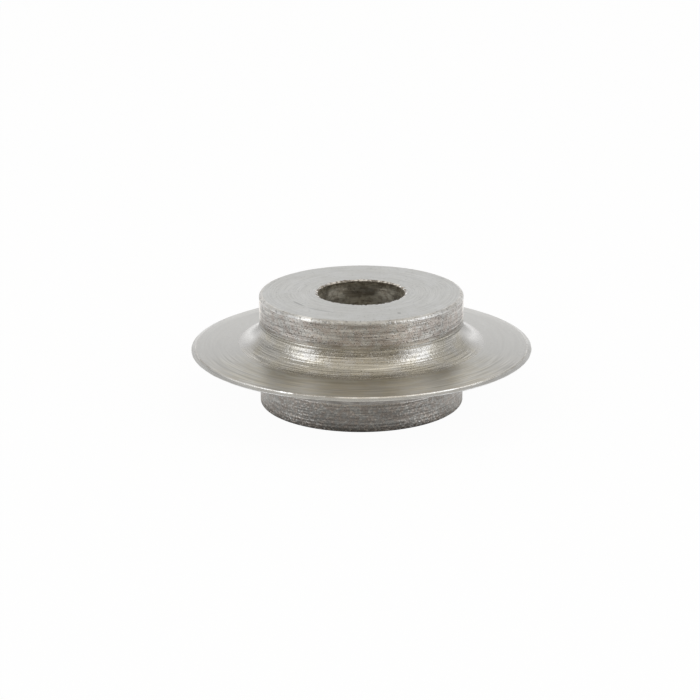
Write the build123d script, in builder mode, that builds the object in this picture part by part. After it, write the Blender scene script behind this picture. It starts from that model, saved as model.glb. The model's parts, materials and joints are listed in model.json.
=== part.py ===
from build123d import *
from math import radians, tan
import os

# Cutter wheel of a hand pipe cutter: one piece of hardened tool steel, turned from bar.
# A thin disc blade stands in the middle of a bored hub, and the hub runs on the cutter's pin.
# The wheel lies on one hub face, with its axis upright along Z.
# The origin is the centre of the bore, in the cutting plane. Lengths are in millimetres.

# Blade
rim_diameter = 18.8
flank_angle = 4.4  # degrees that each ground side of the disc leans to the cutting plane
bevel_width = 0.27  # radial width of the honed bevel that ends at the cutting edge
bevel_root_thickness = 0.26  # across the disc where the bevel begins
edge_land = 0.04  # flat left on the cutting edge itself

# Hub
hub_diameter = 11.25
hub_width = 6.15
shoulder_radius = 0.2  # rounded outer edge of each hub face
root_radius = 1.25  # concave fillet between a collar and the disc
relief_depth = 0.05  # turned in under each collar, where its fillet begins
relief_width = 0.15

# Bore for the pin
bore_diameter = 4.8
bore_chamfer = 0.05

rim_radius = rim_diameter / 2
hub_radius = hub_diameter / 2
bevel_root_radius = rim_radius - bevel_width
relief_radius = hub_radius - relief_depth

# Where the flank would meet the relief if there were no fillet between them
flank_rise = (bevel_root_radius - relief_radius) * tan(radians(flank_angle))
corner_height = bevel_root_thickness / 2 + flank_rise
fillet_reach = root_radius / tan(radians(90 + flank_angle) / 2)
relief_height = corner_height + fillet_reach + relief_width

with BuildPart() as cutter_wheel:
    # Upper half of the section: local X is the radius and local Y the height over the cutting plane
    with BuildSketch(Plane.XZ) as section:
        with BuildLine():
            Polyline(
                (0, 0),
                (0, hub_width / 2),
                (hub_radius, hub_width / 2),
                (hub_radius, relief_height),
                (relief_radius, relief_height),
                (relief_radius, corner_height),
                (bevel_root_radius, bevel_root_thickness / 2),
                (rim_radius, edge_land / 2),
                (rim_radius, 0),
                close=True,
            )
        make_face()
        hub_shoulder = section.vertices().group_by(Axis.Y)[-1].sort_by(Axis.X)[-1]
        fillet(hub_shoulder, radius=shoulder_radius)
        blade_root = (relief_radius, corner_height, 0)
        fillet(section.vertices().sort_by_distance(blade_root)[0], radius=root_radius)
        mirror(about=Plane.XZ)
    revolve(axis=Axis.Z)

    Hole(radius=bore_diameter / 2)
    bore_mouths = (
        cutter_wheel.edges()
        .filter_by(GeomType.CIRCLE)
        .filter_by(lambda edge: abs(edge.radius - bore_diameter / 2) < 1e-6)
    )
    chamfer(bore_mouths, length=bore_chamfer)

cutter_wheel.part.label = "cutter_wheel"

os.makedirs("parts", exist_ok=True)
export_step(cutter_wheel.part, "parts/cutter_wheel.step")
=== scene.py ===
"""Looks of a pipe cutter wheel: one piece of turned and ground tool steel that lies on its hub.

The wheel is one closed surface of revolution round Z, with its tool marks in the mesh and its
finer grain in the materials. Lengths are in metres, and the cutting plane is at Z = 0. The front
of the wheel, which the camera sees, is on the side of -Y.
"""

import json
import logging
import math
from dataclasses import dataclass
from dataclasses import field
from dataclasses import replace
from enum import Enum
from typing import Any
from typing import Union

import bpy
import numpy as np
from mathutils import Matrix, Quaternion
from mathutils import Vector

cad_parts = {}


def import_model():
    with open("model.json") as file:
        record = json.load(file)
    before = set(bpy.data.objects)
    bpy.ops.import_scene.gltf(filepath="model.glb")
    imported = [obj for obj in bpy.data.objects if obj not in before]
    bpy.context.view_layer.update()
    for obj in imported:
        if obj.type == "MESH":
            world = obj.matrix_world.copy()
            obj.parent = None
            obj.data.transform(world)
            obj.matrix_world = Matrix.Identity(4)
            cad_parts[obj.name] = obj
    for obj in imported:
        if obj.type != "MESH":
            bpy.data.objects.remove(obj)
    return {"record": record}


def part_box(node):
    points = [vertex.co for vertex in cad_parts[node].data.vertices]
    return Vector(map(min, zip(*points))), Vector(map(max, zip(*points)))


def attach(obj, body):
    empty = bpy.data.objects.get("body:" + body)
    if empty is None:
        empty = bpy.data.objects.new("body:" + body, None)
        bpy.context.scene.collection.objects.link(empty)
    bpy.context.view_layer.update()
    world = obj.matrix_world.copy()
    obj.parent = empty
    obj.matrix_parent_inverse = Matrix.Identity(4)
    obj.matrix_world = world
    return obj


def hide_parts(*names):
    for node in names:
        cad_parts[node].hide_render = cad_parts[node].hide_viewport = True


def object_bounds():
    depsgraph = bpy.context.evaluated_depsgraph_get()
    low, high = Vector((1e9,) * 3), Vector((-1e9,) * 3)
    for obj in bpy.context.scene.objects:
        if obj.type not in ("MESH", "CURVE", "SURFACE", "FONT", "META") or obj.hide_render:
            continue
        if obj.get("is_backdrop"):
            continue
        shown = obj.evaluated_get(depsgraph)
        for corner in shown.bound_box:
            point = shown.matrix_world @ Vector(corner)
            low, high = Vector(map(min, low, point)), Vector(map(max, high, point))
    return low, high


MM = 0.001
TURN = 2 * math.pi
WHEEL_NODE = "cutter_wheel"

Colour = tuple[float, float, float]
Point = tuple[float, float]
Feed = Union[bpy.types.NodeSocket, float, tuple]

# Distance from a corner to a straight stretch's next point, and the largest share of the stretch
# that it may take
CORNER_GUARD = 0.006 * MM
GUARD_LIMIT = 0.25

# Random strength of the waves that make a groove fade, and what brings their sum to about 1
WAVE_WEIGHTS = (0.3, 1.0)
WAVE_SHARE = 0.75

# Parts of the noise's range that are stretched to the full pattern, and its detail
NOISE_REACH = (0.3, 0.7)
BLOTCH_REACH = (0.4, 0.6)
PLAIN_DETAIL = 1.0
FINE_DETAIL = 3.0

# How far above its level the noise of a pit has risen where the pit is full
PIT_EDGE = 0.1

# Distances from a mark's middle, in parts of its reach, where it is gone and where it is full
MARK_FADE = (1.2, 0.5)

# Reach of a mark that goes all the way across: a metre, far more than the wheel has
UNLIMITED = 1.0

# Where calm sides go over to the front and to the back, as SteelPlace.facing counts
CALM_AHEAD = (-0.2, -0.5)
CALM_BEHIND = (0.55, 0.85)

# Turns the shine across the rings, as the shader counts a quarter of a turn
ACROSS_RINGS = 0.25

log = logging.getLogger("cutter_wheel")


class Zone(Enum):
    """The surfaces of the wheel, each with a finish of its own.

    FRINGE is the inner part of the disc, where the fillet's grooves run out, and CREST is the
    rounded line between the disc and its bevel. FOOT, LOW_COLLAR and LOW_ROOT are finishes that
    the lower half has in place of those of the same surfaces above.
    """

    BORE = "bore"
    MOUTH = "mouth"
    HUB_FACE = "hub_face"
    SHOULDER = "shoulder"
    FOOT = "foot"
    COLLAR = "collar"
    LOW_COLLAR = "low_collar"
    RELIEF = "relief"
    ROOT = "root"
    LOW_ROOT = "low_root"
    FRINGE = "fringe"
    FLANK = "flank"
    CREST = "crest"
    BEVEL = "bevel"
    EDGE = "edge"


class Side(Enum):
    """The two halves of the wheel, with the number that gives each one random marks of its own."""

    UPPER = 1
    LOWER = 2


@dataclass(frozen=True)
class WheelSection:
    """Sizes of one half of the wheel's section.

    Attributes:
        rim_radius: Radius of the cutting edge.
        half_width: Height of a hub face over the cutting plane.
        bore_radius: Radius of the bore.
        hub_radius: Radius of the collars.
        shoulder: Rounding of the hub face's outer edge.
        relief_depth: Depth of the groove turned in under the collar.
        relief_width: Width of that groove.
        root_radius: Radius of the concave fillet between the collar and the disc.
        flank_angle: How far the disc's side leans to the cutting plane.
        bevel_width: Width of the honed bevel, along the radius.
        bevel_root_thickness: Thickness of the disc where the bevel begins.
        edge_land: Thickness of the cutting edge.
        mouth_break: Chamfer of the bore's mouth.
        foot: Rounding of the lower hub face's outer edge.
        low_relief_depth: Depth of the groove under the lower collar.
    """

    rim_radius: float
    half_width: float
    bore_radius: float
    hub_radius: float = 5.625 * MM
    shoulder: float = 0.2 * MM
    relief_depth: float = 0.014 * MM
    relief_width: float = 0.16 * MM
    root_radius: float = 1.25 * MM
    flank_angle: float = math.radians(4.4)
    bevel_width: float = 0.27 * MM
    bevel_root_thickness: float = 0.26 * MM
    edge_land: float = 0.04 * MM
    mouth_break: float = 0.05 * MM
    foot: float = 0.08 * MM
    low_relief_depth: float = 0.008 * MM

    @classmethod
    def from_frame(cls, record: dict[str, Any]) -> "WheelSection":
        """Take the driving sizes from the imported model.

        Args:
            record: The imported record, which holds the bore's mount.

        Returns:
            The section with the frame's rim, width and bore.
        """
        low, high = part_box(WHEEL_NODE)
        bore = next(mount for mount in record["mounts"] if mount["kind"] == "bore")
        return cls(
            rim_radius=(high.x - low.x) / 2,
            half_width=(high.z - low.z) / 2,
            bore_radius=bore["dims"]["r_mm"] * MM,
        )

    def lower(self) -> "WheelSection":
        """Return the lower half's section, whose foot is sharper and whose relief is shallower."""
        return replace(self, shoulder=self.foot, relief_depth=self.low_relief_depth)

    @property
    def bevel_root(self) -> Point:
        """Radius and height where the flank ends and the honed bevel begins."""
        return self.rim_radius - self.bevel_width, self.bevel_root_thickness / 2

    @property
    def relief_radius(self) -> float:
        """Radius of the groove turned in under a collar."""
        return self.hub_radius - self.relief_depth

    @property
    def root_centre(self) -> Point:
        """Find the centre of the concave fillet, tangent to the relief and to the flank.

        Returns:
            The centre's radius and height.
        """
        radius, height = self.bevel_root
        centre_radius = self.relief_radius + self.root_radius
        flank_height = height + (radius - centre_radius) * math.tan(self.flank_angle)
        return centre_radius, flank_height + self.root_radius / math.cos(self.flank_angle)


@dataclass(frozen=True)
class Stretch:
    """One stretch of the section: its zone and its points, radius and height in each row."""

    zone: Zone
    points: np.ndarray


def straight(start: Point, end: Point, rings: int) -> np.ndarray:
    """Divide a straight stretch, leaving its end to the next one.

    A point close to each end keeps the stretch flat up to its corners under smooth shading.

    Args:
        start: Radius and height of the first point.
        end: Radius and height of the point after the last.
        rings: Number of points, three or more.

    Returns:
        The points, one row each.
    """
    guard = min(CORNER_GUARD / math.dist(start, end), GUARD_LIMIT)
    share = np.concatenate([[0.0], np.linspace(guard, 1 - guard, rings - 1)])[:, None]
    return np.array(start) * (1 - share) + np.array(end) * share


def arc(centre: Point, radius: float, first: float, last: float, rings: int) -> np.ndarray:
    """Divide a round stretch, leaving its end to the next one.

    Args:
        centre: Radius and height of the arc's centre.
        radius: Radius of the arc itself.
        first: Angle of the first point, from the direction away from the axis, in radians.
        last: Angle of the point after the last, in radians.
        rings: Number of points.

    Returns:
        The points, one row each.
    """
    angle = np.linspace(first, last, rings, endpoint=False)
    return np.array(centre) + radius * np.stack([np.cos(angle), np.sin(angle)], axis=1)


def ease(share: np.ndarray) -> np.ndarray:
    """Ease shares from 0 to 1 in and out."""
    return share**2 * (3 - 2 * share)


def eased(start: Point, end: Point, rings: int) -> np.ndarray:
    """Divide an S-shaped stretch, upright at both ends, leaving its end to the next one.

    Args:
        start: Radius and height of the first point.
        end: Radius and height of the point after the last.
        rings: Number of points.

    Returns:
        The points, one row each.
    """
    share = np.linspace(0, 1, rings, endpoint=False)
    radii = start[0] + (end[0] - start[0]) * ease(share)
    return np.stack([radii, start[1] + (end[1] - start[1]) * share], axis=1)


@dataclass(frozen=True)
class TurningMarks:
    """Grooves that a tool leaves round the wheel, uneven in width, in depth and along their way.

    Attributes:
        pitch: Mean width of a groove.
        depth: Most that a groove is deep.
        fading: Most that a groove loses along its way.
        seed: Seed of the random numbers.
        width_spread: Least and most width, in parts of the pitch.
        depth_spread: Least and most depth, in parts of the depth.
        waves: Highest number of waves with which a groove fades in one turn.
    """

    pitch: float
    depth: float
    fading: float
    seed: int
    width_spread: Point = (0.55, 1.45)
    depth_spread: Point = (0.35, 1.0)
    waves: int = 14

    def heights(self, distance: np.ndarray, around: np.ndarray) -> np.ndarray:
        """Work out how far each point lies under the untouched surface.

        Args:
            distance: Distance of each ring along the section.
            around: Angle of each segment.

        Returns:
            Heights, one row for each ring, none above zero.
        """
        rng = np.random.default_rng(self.seed)
        span = distance[-1] - distance[0]
        count = int(span / self.pitch) + 2
        widths = self.pitch * rng.uniform(*self.width_spread, count)
        walls = distance[0] + np.concatenate([[0.0], np.cumsum(widths)]) - widths[0] / 2
        groove = np.clip(np.searchsorted(walls, distance, side="right") - 1, 0, count - 1)
        across = 2 * (distance - walls[groove]) / widths[groove] - 1
        bowl = np.clip(1 - across**2, 0, 1)
        depths = self.depth * rng.uniform(*self.depth_spread, count)
        fade = 1 - self.fading * (1 + wander(rng, count, self.waves, around)) / 2
        return -(bowl * depths[groove])[:, None] * fade[groove]


def wander(rng: np.random.Generator, count: int, waves: int, around: np.ndarray) -> np.ndarray:
    """Make smooth random curves that close on themselves round the wheel.

    Args:
        rng: Source of the random numbers.
        count: Number of curves.
        waves: Highest number of waves in one turn.
        around: Angle of each segment.

    Returns:
        Curves between -1 and 1, one row each.
    """
    turns = np.arange(1, waves + 1)
    phases = rng.uniform(0, TURN, (count, waves, 1))
    weights = rng.uniform(*WAVE_WEIGHTS, (count, waves, 1))
    curves = (weights * np.sin(turns[None, :, None] * around[None, None, :] + phases)).sum(axis=1)
    return np.clip(curves / math.sqrt(waves * WAVE_SHARE), -1, 1)


@dataclass(frozen=True)
class Chips:
    """Small rounded chips, scattered along an edge.

    Attributes:
        count: Number of chips round the wheel.
        reach: Half the mean angle that a chip takes.
        depth: Most that a chip is deep.
        seed: Seed of the random numbers.
        reach_spread: Least and most reach, in parts of the reach.
        depth_spread: Least and most depth, before the rarity.
        rarity: Power that makes the deep chips rare.
    """

    count: int
    reach: float
    depth: float
    seed: int
    reach_spread: Point = (0.5, 1.5)
    depth_spread: Point = (0.25, 1.0)
    rarity: float = 1.5

    def depths(self, around: np.ndarray) -> np.ndarray:
        """Work out how deep the edge is chipped.

        Args:
            around: Angle of each segment.

        Returns:
            Depth of the chipping at each segment, 0 between chips.
        """
        rng = np.random.default_rng(self.seed)
        places = rng.uniform(0, TURN, (self.count, 1))
        reaches = self.reach * rng.uniform(*self.reach_spread, (self.count, 1))
        depths = rng.uniform(*self.depth_spread, (self.count, 1)) ** self.rarity
        apart = np.abs((around[None, :] - places + math.pi) % TURN - math.pi)
        return self.depth * (depths * np.clip(1 - (apart / reaches) ** 2, 0, 1)).max(axis=0)


class Graph:
    """Short ways to write a node tree."""

    def __init__(self, tree: bpy.types.NodeTree) -> None:
        """Start from an empty tree."""
        self.tree = tree
        self.tree.nodes.clear()

    def add(self, kind: str, inputs: dict[Union[str, int], Feed], **settings: Any) -> bpy.types.Node:
        """Add a node, set its options and feed its sockets.

        Args:
            kind: Blender's name for the kind of node.
            inputs: What each input socket gets: a socket to link, or a value.
            settings: Options of the node.

        Returns:
            The new node.
        """
        node = self.tree.nodes.new(kind)
        for name, value in settings.items():
            setattr(node, name, value)
        for key, feed in inputs.items():
            if isinstance(feed, bpy.types.NodeSocket):
                self.tree.links.new(feed, node.inputs[key])
            else:
                node.inputs[key].default_value = feed
        return node

    def math(self, operation: str, first: Feed, second: Feed = 0.0) -> bpy.types.NodeSocket:
        """Return the result of one sum on numbers."""
        node = self.add("ShaderNodeMath", {0: first, 1: second}, operation=operation)
        return node.outputs[0]

    def vector(
        self, operation: str, first: Feed, second: Feed = (0.0, 0.0, 0.0)
    ) -> bpy.types.NodeSocket:
        """Return the vector result of one sum on vectors."""
        node = self.add("ShaderNodeVectorMath", {0: first, 1: second}, operation=operation)
        return node.outputs["Vector"]

    def scaled(self, vector: Feed, factor: Feed) -> bpy.types.NodeSocket:
        """Return a vector made longer or shorter."""
        node = self.add("ShaderNodeVectorMath", {0: vector, "Scale": factor}, operation="SCALE")
        return node.outputs["Vector"]

    def length(self, vector: Feed) -> bpy.types.NodeSocket:
        """Return how long a vector is."""
        return self.add("ShaderNodeVectorMath", {0: vector}, operation="LENGTH").outputs["Value"]

    def split(self, vector: Feed) -> tuple[bpy.types.NodeSocket, ...]:
        """Return the three sockets that hold a vector's parts."""
        return tuple(self.add("ShaderNodeSeparateXYZ", {0: vector}).outputs)

    def joined(self, first: Feed, second: Feed, third: Feed) -> bpy.types.NodeSocket:
        """Return a vector made of three parts."""
        return self.add("ShaderNodeCombineXYZ", {0: first, 1: second, 2: third}).outputs[0]

    def noise(self, vector: Feed, scale: float, detail: float) -> bpy.types.NodeSocket:
        """Return smooth noise from about 0.2 to 0.8."""
        inputs = {"Vector": vector, "Scale": scale, "Detail": detail}
        return self.add("ShaderNodeTexNoise", inputs).outputs["Fac"]

    def ranged(
        self, value: Feed, source: Point, target: Point, smooth: bool = False
    ) -> bpy.types.NodeSocket:
        """Carry a value from one range to another, held at both ends.

        Args:
            value: The value.
            source: Range that it has.
            target: Range that it gets.
            smooth: Whether it eases in and out.

        Returns:
            The new value.
        """
        inputs = {0: value, 1: source[0], 2: source[1], 3: target[0], 4: target[1]}
        kind = "SMOOTHSTEP" if smooth else "LINEAR"
        return self.add("ShaderNodeMapRange", inputs, interpolation_type=kind).outputs[0]

    def rise(self, value: Feed, source: Point) -> bpy.types.NodeSocket:
        """Return 0 for a value at the start of a range and 1 at its end, eased in between."""
        return self.ranged(value, source, (0.0, 1.0), True)

    def blend(self, share: Feed, first: Feed, second: Feed) -> bpy.types.NodeSocket:
        """Return a mix of two colours."""
        colours = {"Factor": share, 6: first, 7: second}
        return self.add("ShaderNodeMix", colours, data_type="RGBA").outputs[2]


def opaque(colour: Colour) -> tuple[float, float, float, float]:
    """Return a colour with full opacity."""
    return (*colour, 1.0)


class SteelPlace:
    """Sockets that say where a point of the steel lies."""

    def __init__(self, graph: Graph) -> None:
        """Take the point's position on the wheel apart.

        Args:
            graph: Tree of the material.
        """
        self.graph = graph
        self.point = graph.add("ShaderNodeTexCoord", {}).outputs["Object"]
        self.aside, self.backward, self.height = graph.split(self.point)
        self.flat = graph.joined(self.aside, self.backward, 0.0)
        self.radius = graph.length(self.flat)

    def turned(self) -> bpy.types.NodeSocket:
        """Return the angle from the front of the wheel, in radians."""
        forward = self.graph.math("MULTIPLY", self.backward, -1.0)
        return self.graph.math("ARCTAN2", self.aside, forward)

    def facing(self) -> bpy.types.NodeSocket:
        """Return -1 in front of the axis, 0 beside it and 1 behind it."""
        return self.graph.split(self.graph.vector("NORMALIZE", self.point))[1]


@dataclass(frozen=True)
class Mark:
    """One scratch, painted highlight or painted shade, lighter or darker than the steel and faded at
    its edge.

    Turns are in degrees from the front, to the left below zero. Without a reach along the radius or
    the height, the mark goes all the way across its zone.
    """

    turn: float
    turn_reach: float
    share: float
    radius: float = 0.0
    radius_reach: float = UNLIMITED
    height: float = 0.0
    height_reach: float = UNLIMITED

    def shade(self, graph: Graph, place: SteelPlace, turned: Feed) -> bpy.types.NodeSocket:
        """Work out how bright the steel is made here.

        Args:
            graph: Tree of the material.
            place: Place on the wheel.
            turned: Angle from the front of the wheel, in radians.

        Returns:
            A factor for the colour: the mark's share inside it and 1 outside.
        """
        apart = graph.math("SUBTRACT", turned, math.radians(self.turn))
        near = graph.add("ShaderNodeMath", {0: apart, 1: math.pi, 2: -math.pi}, operation="WRAP")
        around = graph.math("DIVIDE", near.outputs[0], math.radians(self.turn_reach))
        outward = graph.math("SUBTRACT", place.radius, self.radius)
        across = graph.math("DIVIDE", outward, self.radius_reach)
        raised = graph.math("SUBTRACT", place.height, self.height)
        up = graph.math("DIVIDE", raised, self.height_reach)
        away = graph.length(graph.joined(around, across, up))
        return graph.ranged(away, MARK_FADE, (1.0, self.share), True)


@dataclass(frozen=True)
class SteelFinish:
    """How one surface of the steel looks: its colour, its shine and the marks too fine to model.

    Attributes:
        name: Name of the material.
        colour: Colour of the clean steel.
        stain: Colour of the stained steel.
        stain_share: Most of the stain, in the blotches.
        roughness: Mean roughness.
        roughness_spread: How far the grain takes the roughness up and down.
        anisotropy: How much the shine is drawn out across the rings.
        ring_pitch: Distance between the fine rings.
        ring_depth: Depth of the fine rings.
        ring_reach: Angle over which a ring's line changes, in radians.
        grain_size: Size of the grain.
        grain_depth: Depth of the grain.
        pit_size: Size of the pits.
        pit_depth: Depth of the pits, below zero for grains that stand out.
        pit_shade: How much darker the pits are, below zero for brighter ones.
        pit_level: Noise above which there is a pit.
        blotch_size: Size of the stain's blotches.
        ring_shade: How much lighter and darker the fine rings are.
        front_bias: Share of the stain colour that only the front has, which paints a warm reflection
            there.
        front_reach: Where that share begins and where it is full, as SteelPlace.facing counts.
        stain_least: Least of the stain, between the blotches.
        blotch_reach: Angle over which a blotch changes where blotches run round, 0 where they don't.
        calm_sides: How much of the fine rings and the grain is lost at the sides.
        grazing: Level of the light that comes back at a grazing angle.
        marks: Scratches of its own, and painted highlights, reflections and shade.
    """

    name: str
    colour: Colour
    stain: Colour
    stain_share: float
    roughness: float
    roughness_spread: float
    anisotropy: float
    ring_pitch: float
    ring_depth: float
    ring_reach: float
    grain_size: float
    grain_depth: float
    pit_size: float = 0.08 * MM
    pit_depth: float = 0.0
    pit_shade: float = 0.0
    pit_level: float = 0.58
    blotch_size: float = 0.9 * MM
    ring_shade: float = 0.15
    front_bias: float = 0.0
    front_reach: Point = (-0.2, -0.85)
    stain_least: float = 0.0
    blotch_reach: float = 0.0
    calm_sides: float = 0.0
    grazing: float = 1.0
    marks: tuple[Mark, ...] = ()

    def material(self) -> bpy.types.Material:
        """Build the finish as a procedural material.

        Returns:
            The material, whose pattern runs round the Z axis.
        """
        made = bpy.data.materials.new(self.name)
        made.use_nodes = True
        graph = Graph(made.node_tree)
        place = SteelPlace(graph)
        facing = place.facing()
        rings = self.streaks(graph, place, self.ring_pitch, self.ring_reach, PLAIN_DETAIL)
        grain = graph.noise(place.point, 1 / self.grain_size, FINE_DETAIL)
        if self.blotch_reach:
            blotch = self.streaks(graph, place, self.blotch_size, self.blotch_reach, FINE_DETAIL)
        else:
            blotch = graph.noise(place.point, 1 / self.blotch_size, FINE_DETAIL)
        front = graph.ranged(facing, self.front_reach, (1 - self.front_bias, 1.0), True)
        spread = graph.ranged(blotch, BLOTCH_REACH, (self.stain_least, self.stain_share), True)
        stained = graph.math("MULTIPLY", spread, front)
        ground = graph.blend(stained, opaque(self.colour), opaque(self.stain))
        pits = graph.ranged(
            graph.noise(place.point, 1 / self.pit_size, PLAIN_DETAIL),
            (self.pit_level, self.pit_level + PIT_EDGE),
            (0.0, 1.0),
        )
        calm = graph.math(
            "ADD",
            graph.ranged(facing, CALM_AHEAD, (1 - self.calm_sides, 1.0), True),
            graph.ranged(facing, CALM_BEHIND, (0.0, self.calm_sides), True),
        )
        ringed = graph.ranged(rings, NOISE_REACH, (-self.ring_shade, self.ring_shade))
        ringed = graph.math("ADD", graph.math("MULTIPLY", ringed, calm), 1.0)
        pitted = graph.ranged(pits, (0.0, 1.0), (1.0, 1 - self.pit_shade))
        shade = graph.math("MULTIPLY", ringed, pitted)
        shade = graph.math("MULTIPLY", shade, self.marked(graph, place))
        colour = graph.scaled(ground, shade)
        low = self.roughness - self.roughness_spread
        high = self.roughness + self.roughness_spread
        roughness = graph.ranged(grain, NOISE_REACH, (low, high))
        relief = graph.math(
            "ADD",
            graph.math("MULTIPLY", rings, self.ring_depth),
            graph.math("MULTIPLY", grain, self.grain_depth),
        )
        relief = graph.math("SUBTRACT", relief, graph.math("MULTIPLY", pits, self.pit_depth))
        relief = graph.math("MULTIPLY", relief, calm)
        bump = graph.add("ShaderNodeBump", {"Height": relief, "Distance": 1.0, "Strength": 1.0})
        tangent = graph.add("ShaderNodeTangent", {}, direction_type="RADIAL", axis="Z")
        shader = graph.add(
            "ShaderNodeBsdfPrincipled",
            {
                "Base Color": colour,
                "Metallic": 1.0,
                "Roughness": roughness,
                "Anisotropic": self.anisotropy,
                "Anisotropic Rotation": ACROSS_RINGS,
                "Specular Tint": opaque((self.grazing,) * 3),
                "Normal": bump.outputs["Normal"],
                "Tangent": tangent.outputs["Tangent"],
            },
        )
        graph.add("ShaderNodeOutputMaterial", {"Surface": shader.outputs["BSDF"]})
        return made

    def streaks(
        self, graph: Graph, place: SteelPlace, pitch: float, reach: float, detail: float
    ) -> bpy.types.NodeSocket:
        """Make fine broken lines round the axis, as a tool or a stone leaves them.

        Args:
            graph: Tree of the material.
            place: Place on the wheel.
            pitch: Distance along the section over which the lines change.
            reach: Angle over which a line changes, in radians.
            detail: How much finer noise is added.

        Returns:
            Noise that changes fast along the section and slowly round the axis.
        """
        along = graph.math("SUBTRACT", place.radius, graph.math("ABSOLUTE", place.height))
        step = graph.math("MULTIPLY", along, 1 / pitch)
        around = graph.scaled(graph.vector("NORMALIZE", place.flat), 1 / reach)
        lifted = graph.vector("ADD", around, graph.joined(0.0, 0.0, step))
        return graph.noise(lifted, 1.0, detail)

    def marked(self, graph: Graph, place: SteelPlace) -> Feed:
        """Join the finish's own marks: scratches, and painted light and shade.

        Args:
            graph: Tree of the material.
            place: Place on the wheel.

        Returns:
            A factor for the colour, 1 where there is no mark.
        """
        if not self.marks:
            return 1.0
        turned = place.turned()
        factor = self.marks[0].shade(graph, place, turned)
        for mark in self.marks[1:]:
            factor = graph.math("MULTIPLY", factor, mark.shade(graph, place, turned))
        return factor


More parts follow.
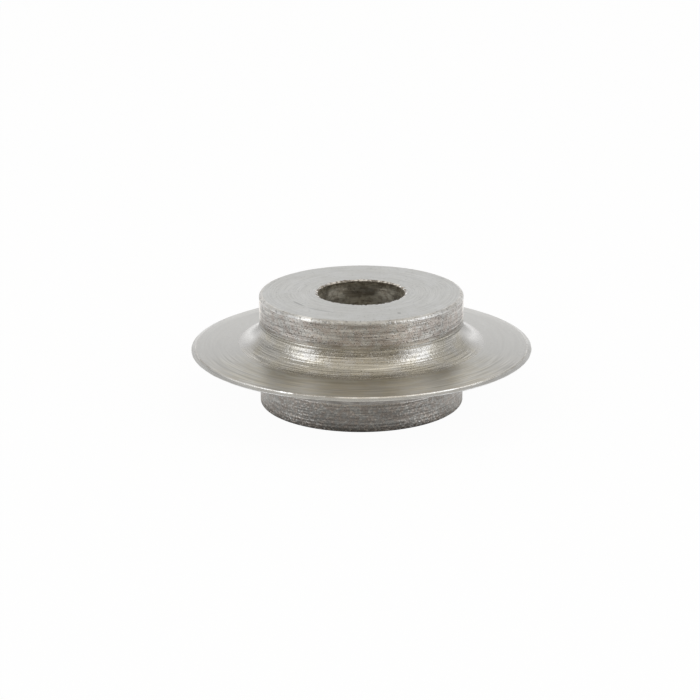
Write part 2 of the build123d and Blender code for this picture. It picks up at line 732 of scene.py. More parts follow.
# Finish of each zone
FINISHES = {
    Zone.BORE: SteelFinish(
        name="drilled_bore_steel",
        colour=(0.49, 0.465, 0.40),
        stain=(0.295, 0.262, 0.212),
        stain_share=0.8,
        roughness=0.55,
        roughness_spread=0.08,
        anisotropy=0.3,
        ring_pitch=0.07 * MM,
        ring_depth=0.005 * MM,
        ring_reach=0.3,
        ring_shade=0.2,
        grain_size=0.1 * MM,
        grain_depth=0.006 * MM,
        pit_size=0.16 * MM,
        pit_depth=0.006 * MM,
        pit_shade=0.2,
        blotch_size=0.3 * MM,
        # Painted light and shade on the back wall: a darker patch low down, lighter patches above it
        # and a lighter band near the mouth
        marks=(
            Mark(turn=176, turn_reach=22, share=0.62, height=2.42 * MM, height_reach=0.32 * MM),
            Mark(turn=-144, turn_reach=17, share=1.45, height=2.55 * MM, height_reach=0.5 * MM),
            Mark(turn=-105, turn_reach=22, share=1.5, height=2.8 * MM, height_reach=0.5 * MM),
            Mark(turn=143, turn_reach=15, share=1.3, height=2.5 * MM, height_reach=0.45 * MM),
            Mark(turn=106, turn_reach=22, share=1.45, height=2.8 * MM, height_reach=0.5 * MM),
            Mark(turn=180, turn_reach=70, share=1.5, height=3.0 * MM, height_reach=0.3 * MM),
        ),
    ),
    Zone.MOUTH: SteelFinish(
        name="broken_mouth_steel",
        # The light colour, broken by dark blotches, paints glints along the broken edge
        colour=(0.80, 0.77, 0.73),
        stain=(0.24, 0.21, 0.18),
        stain_share=1.0,
        roughness=0.3,
        roughness_spread=0.08,
        anisotropy=0.0,
        ring_pitch=0.03 * MM,
        ring_depth=0.001 * MM,
        ring_reach=0.2,
        grain_size=0.1 * MM,
        grain_depth=0.008 * MM,
        blotch_size=0.2 * MM,
        # Painted highlights on the mouth at the left and right
        marks=(
            Mark(turn=-92, turn_reach=34, share=1.4),
            Mark(turn=92, turn_reach=34, share=1.4),
        ),
    ),
    Zone.HUB_FACE: SteelFinish(
        name="ground_face_steel",
        colour=(0.475, 0.474, 0.462),
        stain=(0.44, 0.437, 0.415),
        stain_share=0.6,
        roughness=0.32,
        roughness_spread=0.04,
        anisotropy=0.2,
        ring_pitch=0.05 * MM,
        ring_depth=0.0006 * MM,
        ring_reach=0.5,
        ring_shade=0.12,
        grain_size=0.12 * MM,
        grain_depth=0.004 * MM,
        pit_size=0.12 * MM,
        pit_depth=0.005 * MM,
        pit_shade=0.3,
        pit_level=0.67,
        marks=(
            Mark(turn=-57, turn_reach=9, share=0.6, radius=4.05 * MM, radius_reach=0.09 * MM),
            Mark(turn=-33, turn_reach=13, share=0.74, radius=4.1 * MM, radius_reach=0.1 * MM),
            Mark(turn=26.6, turn_reach=1.4, share=0.5, radius=4.48 * MM, radius_reach=0.12 * MM),
        ),
    ),
    Zone.SHOULDER: SteelFinish(
        name="rounded_shoulder_steel",
        # Lighter than the collar and the hub face: a painted highlight along the rounded edge
        colour=(0.63, 0.62, 0.60),
        stain=(0.54, 0.515, 0.475),
        stain_share=0.6,
        roughness=0.37,
        roughness_spread=0.08,
        anisotropy=0.2,
        ring_pitch=0.05 * MM,
        ring_depth=0.004 * MM,
        ring_reach=0.05,
        grain_size=0.15 * MM,
        grain_depth=0.055 * MM,
        pit_size=0.14 * MM,
        pit_depth=0.012 * MM,
        pit_shade=0.38,
        # Painted highlights where the lamps catch the edge, and painted light at the sides
        marks=(
            Mark(turn=-32.5, turn_reach=5.5, share=1.55),
            Mark(turn=-68, turn_reach=18, share=1.12),
            Mark(turn=33, turn_reach=12, share=1.16),
            Mark(turn=68, turn_reach=18, share=1.08),
        ),
    ),
    Zone.FOOT: SteelFinish(
        name="painted_shade_foot_steel",
        # Far darker than the other steel: painted contact shade where the wheel stands on the floor
        colour=(0.15, 0.147, 0.145),
        stain=(0.10, 0.098, 0.096),
        stain_share=0.8,
        roughness=0.42,
        roughness_spread=0.08,
        anisotropy=0.2,
        ring_pitch=0.04 * MM,
        ring_depth=0.003 * MM,
        ring_reach=0.12,
        grain_size=0.09 * MM,
        grain_depth=0.01 * MM,
    ),
    Zone.COLLAR: SteelFinish(
        name="turned_collar_steel",
        colour=(0.51, 0.497, 0.472),
        stain=(0.447, 0.40, 0.366),
        stain_share=0.8,
        roughness=0.3,
        roughness_spread=0.1,
        anisotropy=0.2,
        ring_pitch=0.085 * MM,
        ring_depth=0.006 * MM,
        ring_reach=0.28,
        ring_shade=0.32,
        grain_size=0.1 * MM,
        grain_depth=0.016 * MM,
        pit_size=0.09 * MM,
        pit_depth=0.014 * MM,
        pit_shade=0.35,
        blotch_size=0.35 * MM,
        # Painted highlights at the left and right edges, and painted light and shade on the front
        marks=(
            Mark(turn=-88, turn_reach=11, share=1.9),
            Mark(turn=88, turn_reach=11, share=1.9),
            Mark(turn=24, turn_reach=10, share=1.15),
            Mark(turn=14, turn_reach=9, share=1.05, height=2.05 * MM, height_reach=0.5 * MM),
            Mark(turn=-52, turn_reach=14, share=0.92, height=2.5 * MM, height_reach=0.35 * MM),
        ),
    ),
    Zone.LOW_COLLAR: SteelFinish(
        name="grainy_collar_steel",
        colour=(0.495, 0.487, 0.465),
        stain=(0.447, 0.40, 0.362),
        stain_share=0.8,
        roughness=0.3,
        roughness_spread=0.1,
        anisotropy=0.1,
        ring_pitch=0.085 * MM,
        ring_depth=0.005 * MM,
        ring_reach=0.35,
        ring_shade=0.25,
        grain_size=0.12 * MM,
        grain_depth=0.012 * MM,
        pit_size=0.12 * MM,
        pit_depth=-0.003 * MM,
        # Bright grains painted into the colour, which stand in for glints
        pit_shade=-0.45,
        pit_level=0.54,
        blotch_size=0.25 * MM,
        # Painted shade under the disc, and painted light lower down at the left and right
        marks=(
            Mark(turn=-70, turn_reach=15, share=0.88, height=-1.5 * MM, height_reach=0.35 * MM),
            Mark(turn=-62, turn_reach=22, share=0.8, height=-2.1 * MM, height_reach=0.8 * MM),
            Mark(turn=-57, turn_reach=13, share=0.87, height=-2.05 * MM, height_reach=0.5 * MM),
            Mark(turn=58, turn_reach=22, share=0.8, height=-2.1 * MM, height_reach=0.85 * MM),
            Mark(turn=-40, turn_reach=14, share=0.86, height=-1.6 * MM, height_reach=0.45 * MM),
            Mark(turn=38, turn_reach=16, share=0.84, height=-1.6 * MM, height_reach=0.5 * MM),
            Mark(turn=0, turn_reach=40, share=0.85, height=-1.45 * MM, height_reach=0.45 * MM),
            Mark(turn=-35, turn_reach=20, share=1.12, height=-2.9 * MM, height_reach=0.6 * MM),
            Mark(turn=32, turn_reach=23, share=1.34, height=-2.9 * MM, height_reach=0.8 * MM),
        ),
    ),
    Zone.RELIEF: SteelFinish(
        name="dim_relief_steel",
        # A little darker than the collar, as painted shade in the groove
        colour=(0.50, 0.485, 0.455),
        stain=(0.44, 0.395, 0.35),
        stain_share=0.8,
        roughness=0.3,
        roughness_spread=0.08,
        anisotropy=0.2,
        ring_pitch=0.09 * MM,
        ring_depth=0.006 * MM,
        ring_reach=0.3,
        ring_shade=0.3,
        grain_size=0.1 * MM,
        grain_depth=0.012 * MM,
        blotch_size=0.35 * MM,
        # Painted light at the left and right sides
        marks=(
            Mark(turn=-66, turn_reach=24, share=1.13),
            Mark(turn=66, turn_reach=24, share=1.15),
        ),
    ),
    Zone.ROOT: SteelFinish(
        name="turned_root_steel",
        colour=(0.54, 0.53, 0.515),
        stain=(0.495, 0.465, 0.40),
        stain_share=0.95,
        stain_least=0.45,
        # The stain, kept to the front, paints a warm reflection there
        front_bias=1.0,
        front_reach=(-0.12, -0.42),
        roughness=0.26,
        roughness_spread=0.07,
        anisotropy=0.2,
        ring_pitch=0.085 * MM,
        ring_depth=0.005 * MM,
        ring_reach=0.35,
        ring_shade=0.3,
        grain_size=0.115 * MM,
        grain_depth=0.017 * MM,
        pit_size=0.08 * MM,
        pit_depth=0.008 * MM,
        pit_shade=0.15,
        pit_level=0.62,
        calm_sides=1.0,
        grazing=0.93,
        # Painted highlights and shade: two bright lines and a dark band low on the front, trimmed
        # lamp highlights, a darker top at the sides and dimmer far sides
        marks=(
            Mark(turn=7, turn_reach=24, share=1.3, radius=6.04 * MM, radius_reach=0.045 * MM),
            Mark(turn=-6, turn_reach=26, share=1.3, radius=6.32 * MM, radius_reach=0.04 * MM),
            Mark(turn=-6, turn_reach=34, share=0.84, radius=6.5 * MM, radius_reach=0.14 * MM),
            Mark(turn=-16, turn_reach=15, share=0.9, radius=6.17 * MM, radius_reach=0.2 * MM),
            Mark(turn=-22, turn_reach=6, share=0.87, radius=6.02 * MM, radius_reach=0.15 * MM),
            Mark(turn=13, turn_reach=6, share=1.12, radius=6.02 * MM, radius_reach=0.13 * MM),
            Mark(turn=-60, turn_reach=14, share=0.93, height=1.1 * MM, height_reach=0.4 * MM),
            Mark(turn=-58, turn_reach=18, share=0.84, height=1.47 * MM, height_reach=0.14 * MM),
            Mark(turn=55, turn_reach=20, share=0.8, height=1.47 * MM, height_reach=0.14 * MM),
            Mark(turn=-84, turn_reach=16, share=0.95),
            Mark(turn=-106, turn_reach=12, share=0.96),
            Mark(turn=84, turn_reach=16, share=0.95),
            Mark(turn=106, turn_reach=12, share=0.96),
        ),
    ),
    Zone.LOW_ROOT: SteelFinish(
        name="lower_root_steel",
        # Lighter than the upper root: painted light that evens out the shade under the disc
        colour=(0.66, 0.645, 0.615),
        stain=(0.58, 0.54, 0.50),
        stain_share=0.8,
        roughness=0.32,
        roughness_spread=0.1,
        anisotropy=0.1,
        ring_pitch=0.085 * MM,
        ring_depth=0.003 * MM,
        ring_reach=0.15,
        ring_shade=0.2,
        grain_size=0.12 * MM,
        grain_depth=0.02 * MM,
        blotch_size=0.25 * MM,
    ),
    Zone.FRINGE: SteelFinish(
        name="ground_fringe_steel",
        colour=(0.505, 0.50, 0.485),
        stain=(0.46, 0.43, 0.36),
        stain_share=1.0,
        stain_least=0.5,
        # The stain, kept to the front, paints a warm reflection there
        front_bias=1.0,
        roughness=0.38,
        roughness_spread=0.06,
        anisotropy=0.2,
        ring_pitch=0.09 * MM,
        ring_depth=0.0015 * MM,
        ring_reach=0.3,
        ring_shade=0.14,
        grain_size=0.1 * MM,
        grain_depth=0.0015 * MM,
        blotch_size=0.35 * MM,
        blotch_reach=0.12,
        calm_sides=0.9,
    ),
    Zone.FLANK: SteelFinish(
        name="ground_flank_steel",
        colour=(0.505, 0.50, 0.485),
        stain=(0.485, 0.457, 0.39),
        stain_share=1.0,
        stain_least=0.5,
        calm_sides=0.85,
        # The stain, kept to the front, paints a warm reflection there
        front_bias=1.0,
        roughness=0.38,
        roughness_spread=0.04,
        anisotropy=0.2,
        ring_pitch=0.09 * MM,
        ring_depth=0.0013 * MM,
        ring_reach=0.3,
        ring_shade=0.2,
        grain_size=0.1 * MM,
        grain_depth=0.002 * MM,
        blotch_size=0.35 * MM,
        blotch_reach=0.12,
        # Painted reflections on the front, and painted light on the back near the rim
        marks=(
            Mark(turn=33, turn_reach=15, share=1.11, radius=8.5 * MM, radius_reach=1.3 * MM),
            Mark(turn=-33, turn_reach=13, share=1.02, radius=8.5 * MM, radius_reach=1.3 * MM),
            Mark(turn=180, turn_reach=85, share=1.17, radius=9.2 * MM, radius_reach=0.9 * MM),
        ),
    ),
    Zone.CREST: SteelFinish(
        name="bright_crest_steel",
        # Far lighter than the flank: a painted highlight along the rim
        colour=(0.88, 0.86, 0.82),
        stain=(0.68, 0.64, 0.58),
        stain_share=0.9,
        roughness=0.3,
        roughness_spread=0.08,
        anisotropy=0.0,
        ring_pitch=0.04 * MM,
        ring_depth=0.001 * MM,
        ring_reach=0.1,
        grain_size=0.1 * MM,
        grain_depth=0.012 * MM,
        blotch_size=0.6 * MM,
        # Painted glints and painted highlights and shade along the crest, darker at the back
        marks=(
            Mark(turn=-26.3, turn_reach=1.2, share=1.6),
            Mark(turn=-23.6, turn_reach=0.8, share=1.6),
            Mark(turn=-28, turn_reach=10, share=0.76),
            Mark(turn=-16, turn_reach=9, share=0.72),
            Mark(turn=-10, turn_reach=5, share=0.88),
            Mark(turn=0, turn_reach=8, share=1.08),
            Mark(turn=29, turn_reach=10, share=0.82),
            Mark(turn=-70, turn_reach=24, share=0.78),
            Mark(turn=70, turn_reach=24, share=0.8),
            Mark(turn=180, turn_reach=110, share=0.72),
        ),
    ),
    Zone.BEVEL: SteelFinish(
        name="honed_bevel_steel",
        colour=(0.52, 0.515, 0.50),
        stain=(0.46, 0.445, 0.42),
        stain_share=0.4,
        roughness=0.26,
        roughness_spread=0.06,
        anisotropy=0.2,
        grazing=0.86,
        ring_pitch=0.05 * MM,
        ring_depth=0.001 * MM,
        ring_reach=0.2,
        grain_size=0.08 * MM,
        grain_depth=0.003 * MM,
        # Painted highlights on the front
        marks=(
            Mark(turn=-33, turn_reach=16, share=1.13),
            Mark(turn=0, turn_reach=18, share=1.02),
            Mark(turn=33, turn_reach=16, share=1.1),
        ),
    ),
    Zone.EDGE: SteelFinish(
        name="dull_edge_steel",
        # Lighter than the bevel: a painted highlight on the cutting edge
        colour=(0.84, 0.84, 0.84),
        stain=(0.60, 0.59, 0.57),
        stain_share=0.6,
        roughness=0.3,
        roughness_spread=0.08,
        anisotropy=0.0,
        ring_pitch=0.04 * MM,
        ring_depth=0.001 * MM,
        ring_reach=0.1,
        grain_size=0.08 * MM,
        grain_depth=0.003 * MM,
        # Painted shade that dims that highlight in two places
        marks=(
            Mark(turn=-34, turn_reach=14, share=0.8),
            Mark(turn=25, turn_reach=9, share=0.86),
        ),
    ),
}

# Number of rings in each zone of one half, from inside the bore to the rim
RINGS = {
    Zone.BORE: 10,
    Zone.MOUTH: 4,
    Zone.HUB_FACE: 6,
    Zone.SHOULDER: 10,
    Zone.COLLAR: 42,
    Zone.RELIEF: 8,
    Zone.ROOT: 64,
    Zone.FRINGE: 18,
    Zone.FLANK: 8,
    Zone.CREST: 3,
    Zone.BEVEL: 5,
    Zone.EDGE: 3,
}

# Zones of the lower half that have a finish of another zone
LOWER_FINISHES = {
    Zone.SHOULDER: Zone.FOOT,
    Zone.COLLAR: Zone.LOW_COLLAR,
    Zone.RELIEF: Zone.LOW_COLLAR,
    Zone.ROOT: Zone.LOW_ROOT,
}


@dataclass
class CutterWheel:
    """The wheel: a surface of revolution with its turning marks, chips and finishes.

    Attributes:
        section: Sizes of the wheel.
        segments: Number of segments round the axis.
        rings: Number of rings in each zone of one half.
        collar_marks: Grooves on the upper collar.
        low_collar_marks: Grooves on the lower collar.
        root_marks: Grooves in the fillets, which run out in the fringe of the disc.
        bore_marks: Waves of the drill in the bore.
        side_marks: What is left of the fillet's grooves at the sides.
        side_turn: Where they fade, from -1 behind the axis to 1 in front of it.
        deep_reach: How far from the relief the tool cut deeper.
        deep_gain: How much deeper it cut there.
        fringe: Width of the disc's inner part, where the fillet's grooves run out.
        crest_run: Width of the rounded line between the disc and the bevel.
        crest_drop: Its height.
        edge_start: Where the cutting edge's rounding begins, up from the cutting plane.
        mouth_chips: Chips at the bore's mouth.
        mouth_burr: Size of the fine burr there.
        burr_seed: Seed of that burr.
        rim_nicks: Nicks of the cutting edge.
        finishes: Finish of each zone.
    """

    section: WheelSection
    segments: int = 276
    rings: dict[Zone, int] = field(default_factory=lambda: dict(RINGS))
    collar_marks: TurningMarks = TurningMarks(
        pitch=0.17 * MM,
        depth=0.018 * MM,
        fading=0.6,
        seed=11,
    )
    low_collar_marks: TurningMarks = TurningMarks(
        pitch=0.17 * MM,
        depth=0.009 * MM,
        fading=0.8,
        seed=22,
    )
    root_marks: TurningMarks = TurningMarks(
        pitch=0.16 * MM,
        depth=0.02 * MM,
        fading=0.5,
        seed=23,
    )
    bore_marks: TurningMarks = TurningMarks(
        pitch=0.6 * MM,
        depth=0.015 * MM,
        fading=0.6,
        seed=41,
    )
    side_marks: float = 0.05
    side_turn: tuple[float, float, float, float] = (-0.85, -0.55, 0.15, 0.5)
    deep_reach: float = 0.5 * MM
    deep_gain: float = 0.35
    fringe: float = 0.8 * MM
    crest_run: float = 0.04 * MM
    crest_drop: float = 0.055 * MM
    edge_start: float = math.radians(70)
    mouth_chips: Chips = Chips(count=110, reach=0.035, depth=0.14 * MM, seed=51)
    mouth_burr: float = 0.06 * MM
    burr_seed: int = 53
    rim_nicks: Chips = Chips(count=30, reach=0.03, depth=0.012 * MM, seed=61)
    finishes: dict[Zone, SteelFinish] = field(default_factory=lambda: dict(FINISHES))

    def half(self, size: WheelSection) -> list[Stretch]:
        """Lay out one half of the section, from inside the bore to the rim.

        Args:
            size: Sizes of that half.

        Returns:
            The stretches in order, each ending where the next one starts.
        """
        top = size.half_width
        edge = size.shoulder
        bore, hub, relief = size.bore_radius, size.hub_radius, size.relief_radius
        centre, root = size.root_centre, size.root_radius
        mouth_start = (bore, top - size.mouth_break)
        mouth_end = (bore + size.mouth_break, top)
        edge_centre = (hub - edge, top - edge)
        relief_start = (hub, centre[1] + size.relief_width)
        root_end = -math.pi / 2 - size.flank_angle
        flank_start = tuple(arc(centre, root, root_end, root_end, 1)[0])
        fringe_end = tuple(
            np.array(flank_start)
            + self.fringe * np.array((math.cos(size.flank_angle), -math.sin(size.flank_angle)))
        )
        root_radius, root_height = size.bevel_root
        crest_end = (root_radius + self.crest_run, root_height - self.crest_drop)
        rim, land = size.rim_radius, size.edge_land / 2
        rings = self.rings
        runs = {
            Zone.BORE: straight((bore, 0), mouth_start, rings[Zone.BORE]),
            Zone.MOUTH: straight(mouth_start, mouth_end, rings[Zone.MOUTH]),
            Zone.HUB_FACE: straight(mouth_end, (hub - edge, top), rings[Zone.HUB_FACE]),
            Zone.SHOULDER: arc(edge_centre, edge, math.pi / 2, 0, rings[Zone.SHOULDER]),
            Zone.COLLAR: straight((hub, edge_centre[1]), relief_start, rings[Zone.COLLAR]),
            Zone.RELIEF: eased(relief_start, (relief, centre[1]), rings[Zone.RELIEF]),
            Zone.ROOT: arc(centre, root, -math.pi, root_end, rings[Zone.ROOT]),
            Zone.FRINGE: straight(flank_start, fringe_end, rings[Zone.FRINGE]),
            Zone.FLANK: straight(fringe_end, size.bevel_root, rings[Zone.FLANK]),
            Zone.CREST: straight(size.bevel_root, crest_end, rings[Zone.CREST]),
            Zone.BEVEL: straight(crest_end, (rim - land, land), rings[Zone.BEVEL]),
            Zone.EDGE: arc((rim - land, 0), land, self.edge_start, 0, rings[Zone.EDGE]),
        }
        return [Stretch(zone, points) for zone, points in runs.items()]

    def build(self) -> bpy.types.Object:
        """Build the wheel's mesh with its marks, and link it to the scene.

        Returns:
            The wheel, at the origin, with a material for each zone.
        """
        upper = self.half(self.section)
        lower = self.half(self.section.lower())
        zones = [stretch.zone for stretch in upper for _ in stretch.points]
        around = np.linspace(0, TURN, self.segments, endpoint=False)
        points, low_points = (
            np.concatenate([stretch.points for stretch in side]) for side in (upper, lower)
        )
        radii, heights = self.marked(points, zones, around, Side.UPPER)
        low_radii, low_heights = self.marked(low_points, zones, around, Side.LOWER)
        radii = np.concatenate([radii, low_radii[:0:-1]])
        heights = np.concatenate([heights, -low_heights[:0:-1]])
        corners = np.stack(
            [radii * np.cos(around), radii * np.sin(around), heights], axis=-1
        ).reshape(-1, 3)
        wheel = self.closed_mesh(corners, len(radii))
        self.dress(wheel, zones)
        return wheel

    def marked(
        self, points: np.ndarray, zones: list[Zone], around: np.ndarray, side: Side
    ) -> tuple[np.ndarray, np.ndarray]:
        """Cut the tool marks and chips into one half of the wheel.

        Args:
            points: The clean section, one row for each ring.
            zones: Zone of each ring.
            around: Angle of each segment.
            side: Which half it is.

        Returns:
            Radius and height of every point, one row for each ring.
        """
        steps = np.linalg.norm(np.diff(points, axis=0), axis=1)
        distance = np.concatenate([[0.0], np.cumsum(steps)])
        along = np.gradient(points, axis=0)
        outward = np.stack([-along[:, 1], along[:, 0]], axis=1)
        outward /= np.linalg.norm(outward, axis=1)[:, None]
        depth = np.zeros((len(points), len(around)))
        collar_marks = self.collar_marks if side is Side.UPPER else self.low_collar_marks
        for marked_zones, marks in (
            ((Zone.BORE,), self.bore_marks),
            ((Zone.COLLAR, Zone.RELIEF), collar_marks),
            ((Zone.ROOT, Zone.FRINGE), self.root_marks),
        ):
            rows = np.array([ring in marked_zones for ring in zones])
            own = replace(marks, seed=marks.seed * side.value)
            depth[rows] = own.heights(distance[rows], around)
        ahead = -np.sin(around)
        root = np.array([ring in (Zone.ROOT, Zone.FRINGE) for ring in zones])
        quiet = self.side_marks
        depth[root] *= np.interp(ahead, self.side_turn, (1.0, quiet, quiet, 1.0))
        if side is Side.UPPER:
            depth *= self.deepening(points)[:, None]
        fringe = np.array([ring is Zone.FRINGE for ring in zones])
        depth[fringe] *= np.linspace(1, 0, fringe.sum())[:, None] ** 2
        radii = points[:, :1] + outward[:, :1] * depth
        heights = points[:, 1:] + outward[:, 1:] * depth
        self.chip_mouth(radii, heights, zones, around, side)
        self.nick_rim(radii, zones, around)
        return radii, heights

    def deepening(self, points: np.ndarray) -> np.ndarray:
        """Work out how much deeper the tool cut where it turned from the collar into the fillet.

        Args:
            points: The clean section, one row for each ring.

        Returns:
            A factor for each ring, 1 away from that place.
        """
        turning = (self.section.relief_radius, self.section.root_centre[1])
        apart = np.linalg.norm(points - turning, axis=1)
        closeness = np.clip(1 - apart / self.deep_reach, 0, 1)
        return 1 + self.deep_gain * ease(closeness)

    def chip_mouth(
        self,
        radii: np.ndarray,
        heights: np.ndarray,
        zones: list[Zone],
        around: np.ndarray,
        side: Side,
    ) -> None:
        """Break the bore's mouth unevenly, as a drill leaves it.

        Args:
            radii: Radius of every point, changed in place.
            heights: Height of every point, changed in place.
            zones: Zone of each ring.
            around: Angle of each segment.
            side: Which half it is.
        """
        teeth = np.random.default_rng(self.burr_seed * side.value).uniform(0, 1, len(around)) ** 2
        own = replace(self.mouth_chips, seed=self.mouth_chips.seed * side.value)
        worn = own.depths(around) + self.mouth_burr * teeth
        mouth = [row for row, zone in enumerate(zones) if zone is Zone.MOUTH]
        for place, row in enumerate(mouth):
            share = place / len(mouth)
            radii[row] += worn * share
            heights[row] -= worn * (1 - share) / 2
        face = zones.index(Zone.HUB_FACE)
        radii[face : face + 2] += worn

    def nick_rim(self, radii: np.ndarray, zones: list[Zone], around: np.ndarray) -> None:
        """Dull the cutting edge a little in a few places.

        Args:
            radii: Radius of every point, changed in place.
            zones: Zone of each ring.
            around: Angle of each segment.
        """
        nicks = self.rim_nicks.depths(around)
        bevel = [row for row, zone in enumerate(zones) if zone in (Zone.BEVEL, Zone.EDGE)]
        for place, row in enumerate(bevel):
            radii[row] -= nicks * place / len(bevel)

    def closed_mesh(self, corners: np.ndarray, rings: int) -> bpy.types.Object:
        """Join the rings into one closed skin.

        Args:
            corners: Every point, ring after ring.
            rings: Number of rings.

        Returns:
            The object, linked to the scene.
        """
        ring, segment = np.meshgrid(np.arange(rings), np.arange(self.segments), indexing="ij")
        next_ring = (ring + 1) % rings
        next_segment = (segment + 1) % self.segments
        quads = np.stack(
            [
                ring * self.segments + segment,
                next_ring * self.segments + segment,
                next_ring * self.segments + next_segment,
                ring * self.segments + next_segment,
            ],
            axis=-1,
        ).reshape(-1, 4)
        mesh = bpy.data.meshes.new("turned_cutter_wheel")
        mesh.from_pydata(corners.tolist(), [], quads.tolist())
        mesh.polygons.foreach_set("use_smooth", np.ones(len(quads), dtype=bool))
        mesh.validate()
        mesh.update()
        wheel = bpy.data.objects.new("turned_cutter_wheel", mesh)
        bpy.context.scene.collection.objects.link(wheel)
        return wheel

    def dress(self, wheel: bpy.types.Object, zones: list[Zone]) -> None:
        """Give each zone of the wheel its finish.

        Args:
            wheel: The wheel.
            zones: Zone of each ring of the upper half.
        """
        order = list(self.finishes)
        for zone in order:
            wheel.data.materials.append(self.finishes[zone].material())
        below = [LOWER_FINISHES.get(zone, zone) for zone in zones[::-1]]
        rows = np.array([order.index(zone) for zone in zones + below[:-1]])
        faces = np.repeat(rows, self.segments).astype(np.int32)
        wheel.data.polygons.foreach_set("material_index", faces)
        wheel.data.update()


@dataclass(frozen=True)
class StudioCamera:
    """The camera, set by how the wheel stands in a square picture.

    Attributes:
        elevation: How far the camera stands above the cutting plane.
        roll: Turn of the picture.
        distance: Distance from the bore's centre.
        frame_pixels: Width and height of the picture.
        focal_pixels: Focal length in the picture's pixels.
        centre_pixel: Where the bore's centre stands in the picture, from its upper left corner.
        sensor: Width of the sensor in millimetres.
        depth_ratio: How many times nearer and farther than the wheel the camera still sees.
    """

    elevation: float = math.radians(17.76)
    roll: float = math.radians(-0.2)
    distance: float = 112.8 * MM
    frame_pixels: float = 700.0
    focal_pixels: float = 2036.4
    centre_pixel: tuple[float, float] = (361.4, 345.3)
    sensor: float = 36.0
    depth_ratio: float = 100.0

    def build(self) -> bpy.types.Object:
        """Place the camera in front of the wheel, looking at the bore's centre.

        Returns:
            The camera, which is the scene's own.
        """
        data = bpy.data.cameras.new("studio_camera")
        data.sensor_width = self.sensor
        data.lens = self.focal_pixels * self.sensor / self.frame_pixels
        half = self.frame_pixels / 2
        data.shift_x = (half - self.centre_pixel[0]) / self.frame_pixels
        data.shift_y = (self.centre_pixel[1] - half) / self.frame_pixels
        data.clip_start = self.distance / self.depth_ratio
        data.clip_end = self.distance * self.depth_ratio
        camera = bpy.data.objects.new("studio_camera", data)
        away = Vector((0, -math.cos(self.elevation), math.sin(self.elevation)))
        camera.location = away * self.distance
        camera.rotation_euler = (
            Quaternion(away, self.roll) @ (-away).to_track_quat("-Z", "Y")
        ).to_euler()
        bpy.context.scene.collection.objects.link(camera)
        bpy.context.scene.camera = camera
        return camera


@dataclass(frozen=True)
class SoftLamp:
    """A tall soft lamp that faces the wheel, turned from the front by its azimuth."""

    name: str
    azimuth: float
    width: float
    radiance: float
    elevation: float = math.radians(22)
    distance: float = 0.26
    height: float = 0.27
    colour: Colour = (0.87, 0.915, 1.0)

    def build(self) -> bpy.types.Object:
        """Hang the lamp and turn it to the wheel.

        Returns:
            The lamp.
        """
        data = bpy.data.lights.new(self.name, "AREA")
        data.shape = "RECTANGLE"
        data.size = self.width
        data.size_y = self.height
        data.color = self.colour
        data.energy = self.radiance * math.pi * self.width * self.height
        lamp = bpy.data.objects.new(self.name, data)
        flat = math.cos(self.elevation)
        away = Vector(
            (
                math.sin(self.azimuth) * flat,
                -math.cos(self.azimuth) * flat,
                math.sin(self.elevation),
            )
        )
        lamp.location = away * self.distance
        lamp.rotation_euler = (-away).to_track_quat("-Z", "Y").to_euler()
        lamp.visible_camera = False
        bpy.context.scene.collection.objects.link(lamp)
        return lamp


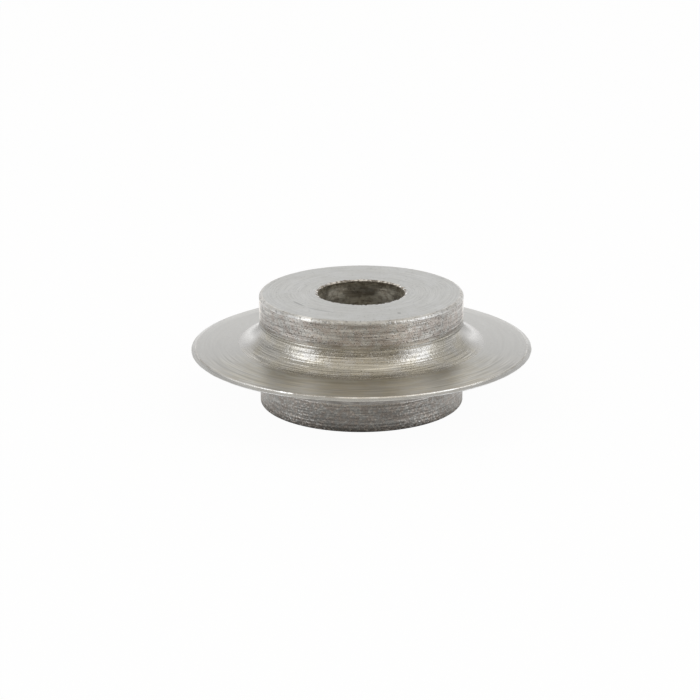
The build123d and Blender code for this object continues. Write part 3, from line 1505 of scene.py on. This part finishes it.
@dataclass(frozen=True)
class Studio:
    """Pale floor, a white backdrop, dimmer sides and front, and two tall soft lamps.

    Reaches and turns give where a change begins and where it ends. Turns and tops are the part of
    a direction that points backwards or up: -1 in front of the wheel or straight down, and 1 behind
    it or straight up.

    Attributes:
        floor_height: Height of the floor.
        floor_half: Half the floor's width.
        white: Colour of the background, and of the light that the floor gives back.
        floor_shown: Colour of the floor to the camera.
        floor_near: Colour that the steel mirrors of the floor close to the wheel in front: a painted
            shadow.
        floor_front: Colour that it mirrors of the floor farther in front, darker than behind as
            painted shade.
        floor_far: Colour that it mirrors of the floor far in front, darker still as painted shade.
        floor_back: Colour that it mirrors of the floor behind the wheel.
        floor_turn: Where the front's colour goes over to the back's.
        near_reach: Distances where floor_near goes over to floor_front.
        far_reach: Distances where floor_front goes over to floor_far.
        paleness_shown: Share of the floor to the camera that is plain white, without a shadow.
        paleness_mirrored: That share in what the steel mirrors, in front and behind.
        shade_reach: Distances where the shade under the wheel goes over to that share.
        dip: How much darker a ring of the floor is mirrored, in front and at its sides, as painted
            shade.
        dip_turn: Turns where those two hold.
        dip_start: Distances where that ring begins.
        dip_end: Distances where that ring ends.
        surround: Colour of the surroundings behind the wheel.
        skyline: Colour of the brighter strip low behind it.
        skyline_top: Where that strip begins to show, going down.
        side: Colour at the sides.
        side_reach: Turns where the back goes over to the sides.
        front: Colour in front.
        low_front: Colour low in front.
        front_reach: Turns where the sides go over to the front.
        front_top: Where the front goes over to the low front, going down.
        overhead: Colour overhead.
        overhead_reach: Where the rest goes over to it, going up.
        lamps: The soft lamps.
    """

    floor_height: float
    floor_half: float = 0.6
    white: Colour = (1.0, 1.0, 1.0)
    floor_shown: Colour = (0.97, 0.97, 0.965)
    floor_near: Colour = (0.14, 0.13, 0.12)
    floor_front: Colour = (0.62, 0.57, 0.49)
    floor_far: Colour = (0.36, 0.335, 0.29)
    floor_back: Colour = (1.0, 0.99, 0.98)
    floor_turn: Point = (-0.95, -0.05)
    near_reach: Point = (9 * MM, 19 * MM)
    far_reach: Point = (24 * MM, 60 * MM)
    paleness_shown: float = 0.96
    paleness_mirrored: Point = (0.31, 1.0)
    shade_reach: Point = (5.35 * MM, 7.6 * MM)
    dip: Point = (0.08, 0.25)
    dip_turn: Point = (-1.0, -0.7)
    dip_start: Point = (6.0 * MM, 7.4 * MM)
    dip_end: Point = (11.5 * MM, 15 * MM)
    surround: Colour = (0.99, 0.99, 0.99)
    skyline: Colour = (1.42, 1.42, 1.42)
    skyline_top: Point = (math.sin(math.radians(18)), math.sin(math.radians(5)))
    side: Colour = (0.60, 0.60, 0.595)
    side_reach: Point = (0.97, 0.72)
    front: Colour = (0.74, 0.69, 0.605)
    low_front: Colour = (0.18, 0.16, 0.13)
    front_reach: Point = (-0.2, -0.6)
    front_top: Point = (math.sin(math.radians(32)), math.sin(math.radians(8)))
    overhead: Colour = (0.78, 0.755, 0.70)
    overhead_reach: Point = (math.sin(math.radians(32)), math.sin(math.radians(58)))
    lamps: tuple[SoftLamp, ...] = (
        SoftLamp(name="left_soft_lamp", azimuth=math.radians(-66.5), width=0.12, radiance=1.6),
        SoftLamp(name="right_soft_lamp", azimuth=math.radians(67.5), width=0.135, radiance=1.48),
    )

    def build(self) -> None:
        """Build the floor, the surroundings and the lamps."""
        self.build_floor()
        self.build_surround()
        for lamp in self.lamps:
            lamp.build()

    def build_floor(self) -> None:
        """Lay a pale floor that reads as white and keeps a soft shadow, with painted shade in what
        the steel mirrors of it.
        """
        half = self.floor_half
        mesh = bpy.data.meshes.new("studio_floor")
        corners = [(-half, -half, 0), (half, -half, 0), (half, half, 0), (-half, half, 0)]
        mesh.from_pydata(corners, [], [(0, 1, 2, 3)])
        floor = bpy.data.objects.new("studio_floor", mesh)
        floor.location.z = self.floor_height
        made = bpy.data.materials.new("pale_floor")
        made.use_nodes = True
        graph = Graph(made.node_tree)
        path = graph.add("ShaderNodeLightPath", {}).outputs
        mirrored = graph.math("MAXIMUM", path["Is Glossy Ray"], path["Is Transmission Ray"])
        place = graph.add("ShaderNodeTexCoord", {}).outputs["Object"]
        reach = graph.length(place)
        turned = graph.math("DIVIDE", graph.split(place)[1], reach)
        behind = graph.rise(turned, self.floor_turn)
        # Painted shade on what the steel mirrors: a ring of the floor made darker
        ringed = graph.math(
            "MULTIPLY",
            graph.rise(reach, self.dip_start),
            graph.ranged(reach, self.dip_end, (1.0, 0.0), True),
        )
        dip = graph.math("MULTIPLY", graph.ranged(turned, self.dip_turn, self.dip), ringed)
        kept = graph.math("SUBTRACT", 1.0, dip)
        open_floor = graph.math("MULTIPLY", graph.rise(reach, self.shade_reach), kept)
        paleness = graph.ranged(behind, (0.0, 1.0), self.paleness_mirrored)
        share = graph.math(
            "ADD",
            graph.math("MULTIPLY", path["Is Camera Ray"], self.paleness_shown),
            graph.math("MULTIPLY", mirrored, graph.math("MULTIPLY", open_floor, paleness)),
        )
        # Painted shade on what the steel mirrors: dark close to the wheel, and darker in front than
        # behind
        near = graph.rise(reach, self.near_reach)
        front = graph.blend(near, opaque(self.floor_near), opaque(self.floor_front))
        front = graph.blend(graph.rise(reach, self.far_reach), front, opaque(self.floor_far))
        lit = graph.scaled(graph.blend(behind, front, opaque(self.floor_back)), kept)
        colour = graph.blend(path["Is Camera Ray"], lit, opaque(self.floor_shown))
        matt = graph.add("ShaderNodeBsdfDiffuse", {"Color": colour})
        white = graph.add("ShaderNodeEmission", {"Color": opaque(self.white), "Strength": 1.0})
        mixed = graph.add(
            "ShaderNodeMixShader", {0: share, 1: matt.outputs[0], 2: white.outputs[0]}
        )
        graph.add("ShaderNodeOutputMaterial", {"Surface": mixed.outputs[0]})
        mesh.materials.append(made)
        bpy.context.scene.collection.objects.link(floor)
        floor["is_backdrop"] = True

    def build_surround(self) -> None:
        """Light the wheel from a white back, grey sides and a dim, warm front below eye level."""
        world = bpy.data.worlds.new("white_surround")
        world.use_nodes = True
        bpy.context.scene.world = world
        graph = Graph(world.node_tree)
        direction = graph.add("ShaderNodeTexCoord", {}).outputs["Generated"]
        backward, upward = graph.split(direction)[1:]
        level = graph.rise(upward, self.skyline_top)
        back = graph.blend(level, opaque(self.surround), opaque(self.skyline))
        around = graph.blend(graph.rise(backward, self.side_reach), back, opaque(self.side))
        low = graph.rise(upward, self.front_top)
        front = graph.blend(low, opaque(self.front), opaque(self.low_front))
        lit = graph.blend(graph.rise(backward, self.front_reach), around, front)
        above = graph.rise(upward, self.overhead_reach)
        lit = graph.blend(above, lit, opaque(self.overhead))
        camera_ray = graph.add("ShaderNodeLightPath", {}).outputs["Is Camera Ray"]
        colour = graph.blend(camera_ray, lit, opaque(self.white))
        shader = graph.add("ShaderNodeBackground", {"Color": colour, "Strength": 1.0})
        graph.add("ShaderNodeOutputWorld", {"Surface": shader.outputs[0]})


def main() -> None:
    """Build the studio and the wheel, and report each piece."""
    logging.basicConfig(level=logging.INFO, format="%(name)s: %(message)s")
    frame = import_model()
    cad_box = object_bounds()

    bpy.context.scene.view_settings.view_transform = "Standard"
    StudioCamera().build()
    Studio(floor_height=cad_box[0].z).build()
    log.info("studio: floor at %.2f mm", cad_box[0].z / MM)

    wheel = CutterWheel(WheelSection.from_frame(frame["record"])).build()
    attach(wheel, "root")
    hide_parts(WHEEL_NODE)
    log.info("%s: %d faces", wheel.name, len(wheel.data.polygons))


if __name__ == "__main__":
    main()
